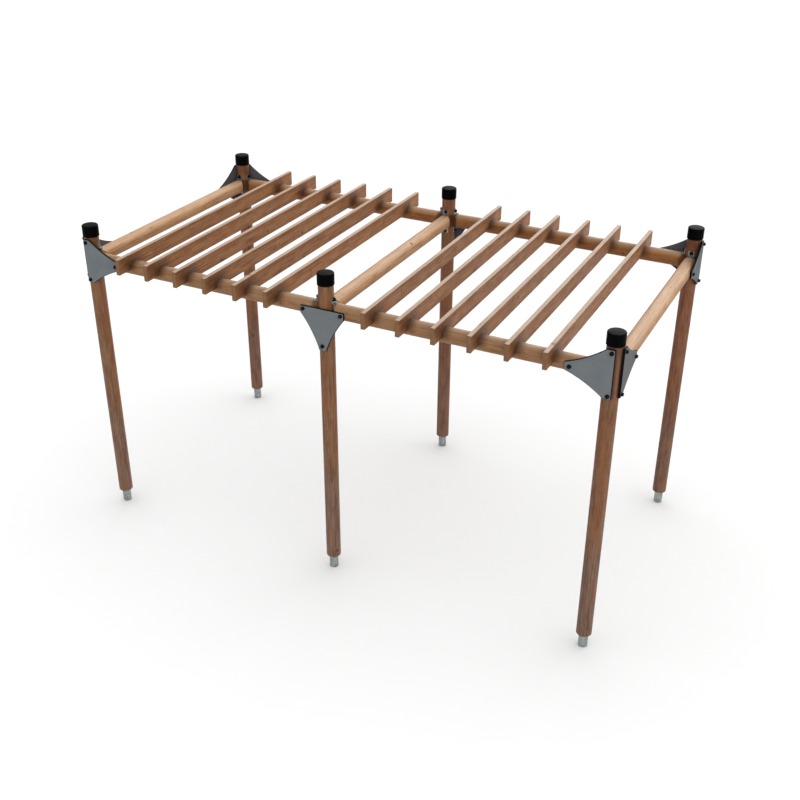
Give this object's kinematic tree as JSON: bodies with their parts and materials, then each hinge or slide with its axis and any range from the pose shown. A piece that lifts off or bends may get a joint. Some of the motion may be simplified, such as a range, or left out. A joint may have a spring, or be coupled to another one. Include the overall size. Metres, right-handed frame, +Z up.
{
  "type": "wooden pergola",
  "caption": "Free-standing pergola of round stained timber posts and beams with grey corner plates, black post caps and slatted shade rafters over two open bays.",
  "frame": {"origin": "on the ground at the middle of the footprint", "axes": "+X along the long side, +Y from the front row to the back row, +Z up"},
  "size_m": [4.55, 2.6, 2.675],
  "materials": {
    "post_wood": "stained, satin",
    "beam_wood": "stained, satin",
    "rafter_wood": "stained, satin",
    "galvanised_steel": "hot-dip galvanised, dull",
    "plate_board": "polyethylene board, grey outer skin on a black core",
    "cap_plastic": "moulded black, matt"
  },
  "bodies": {
    "root": {"front_left_post": "post_wood", "front_left_foot": "galvanised_steel", "front_left_cap": "cap_plastic", "front_left_plates": "plate_board", "front_middle_post": "post_wood", "front_middle_foot": "galvanised_steel", "front_middle_cap": "cap_plastic", "front_middle_plate": "plate_board", "front_right_post": "post_wood", "front_right_foot": "galvanised_steel", "front_right_cap": "cap_plastic", "front_right_plates": "plate_board", "front_angle_brackets": "galvanised_steel", "front_left_beam": "beam_wood", "front_right_beam": "beam_wood", "back_left_post": "post_wood", "back_left_foot": "galvanised_steel", "back_left_cap": "cap_plastic", "back_left_plates": "plate_board", "back_middle_post": "post_wood", "back_middle_foot": "galvanised_steel", "back_middle_cap": "cap_plastic", "back_middle_plate": "plate_board", "back_right_post": "post_wood", "back_right_foot": "galvanised_steel", "back_right_cap": "cap_plastic", "back_right_plates": "plate_board", "back_angle_brackets": "galvanised_steel", "back_left_beam": "beam_wood", "back_right_beam": "beam_wood", "left_cross_beam": "beam_wood", "middle_cross_beam": "beam_wood", "right_cross_beam": "beam_wood", "rafter_01": "rafter_wood", "rafter_02": "rafter_wood", "rafter_03": "rafter_wood", "rafter_04": "rafter_wood", "rafter_05": "rafter_wood", "rafter_06": "rafter_wood", "rafter_07": "rafter_wood", "rafter_08": "rafter_wood", "rafter_09": "rafter_wood", "rafter_10": "rafter_wood", "rafter_11": "rafter_wood", "rafter_12": "rafter_wood"}
  },
  "joints": []
}
